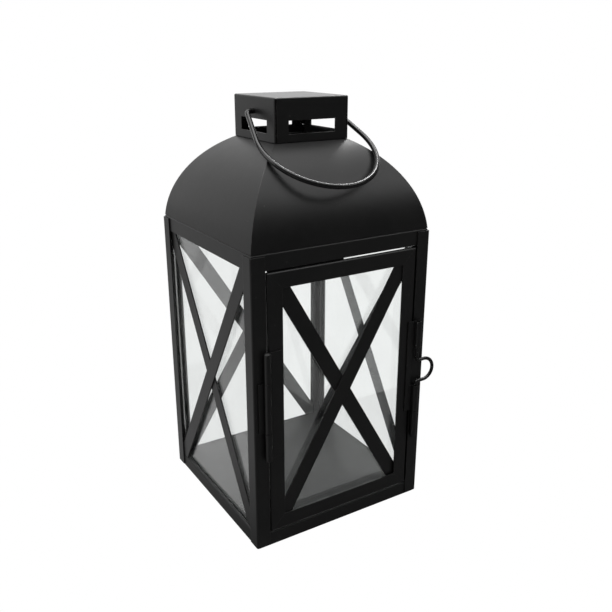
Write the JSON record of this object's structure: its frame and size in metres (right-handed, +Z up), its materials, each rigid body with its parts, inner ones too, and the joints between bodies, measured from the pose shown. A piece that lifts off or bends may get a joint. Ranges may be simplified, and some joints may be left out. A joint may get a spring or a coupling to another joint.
{
  "type": "candle lantern",
  "caption": "Square black sheet-metal candle lantern with glazed walls under crossed strips, a hinged door with a drop-pin latch, a domed roof, a vent cap and a wire bail.",
  "frame": {"origin": "middle of the square footprint, on the surface that the lantern stands on", "axes": "+Z up, -Y out of the door's face, +X to the latch side as seen from the front"},
  "size_m": [0.1485, 0.145, 0.2981],
  "materials": {
    "frame": "satin black powder coat on steel sheet",
    "hardware": "satin black powder coat",
    "wire": "satin black powder coat on wire",
    "glass": "clear float glass"
  },
  "bodies": {
    "lantern": {"base_tray": "frame", "cap_tabs": "frame", "closing_strip": "frame", "closing_strip_top": "frame", "corner_post_back_left": "frame", "corner_post_back_right": "frame", "corner_post_front_left": "frame", "corner_post_front_right": "frame", "glass_back": "glass", "glass_left": "glass", "glass_rails_back": "frame", "glass_rails_left": "frame", "glass_rails_right": "frame", "glass_right": "glass", "hinge_leaf_post": "hardware", "hinge_pin": "hardware", "latch_keeper": "hardware", "roof_panel_back": "frame", "roof_panel_front": "frame", "roof_panel_left": "frame", "roof_panel_right": "frame", "strip_over_back": "frame", "strip_over_left": "frame", "strip_over_right": "frame", "strip_under_back": "frame", "strip_under_left": "frame", "strip_under_right": "frame", "top_band_back": "frame", "top_band_front": "frame", "top_band_left": "frame", "top_band_right": "frame", "vent_cap": "frame"},
    "door": {"door_glass": "glass", "door_glass_rails": "frame", "door_rail_bottom": "frame", "door_rail_top": "frame", "door_stile_hinge": "frame", "door_stile_latch": "frame", "door_strip_over": "frame", "door_strip_under": "frame", "hinge_leaf_door": "hardware", "latch_leaf_door": "hardware"},
    "bail": {"bail_handle": "wire"},
    "latch": {"latch_pin": "hardware"}
  },
  "joints": [
    {"name": "door_hinge", "type": "hinge", "parent": "lantern", "child": "door", "pos_m": [-0.061, -0.07265, 0.10805], "axis": [0, 0, -1], "range_deg": [0, 170]},
    {"name": "bail_pivot", "type": "hinge", "parent": "lantern", "child": "bail", "pos_m": [0, 0, 0.28826], "axis": [-1, 0, 0], "range_deg": [0, 242]},
    {"name": "latch_slide", "type": "slide", "parent": "door", "child": "latch", "axis": [0, 0, 1], "range_m": [-0.0015, 0.0082]}
  ]
}
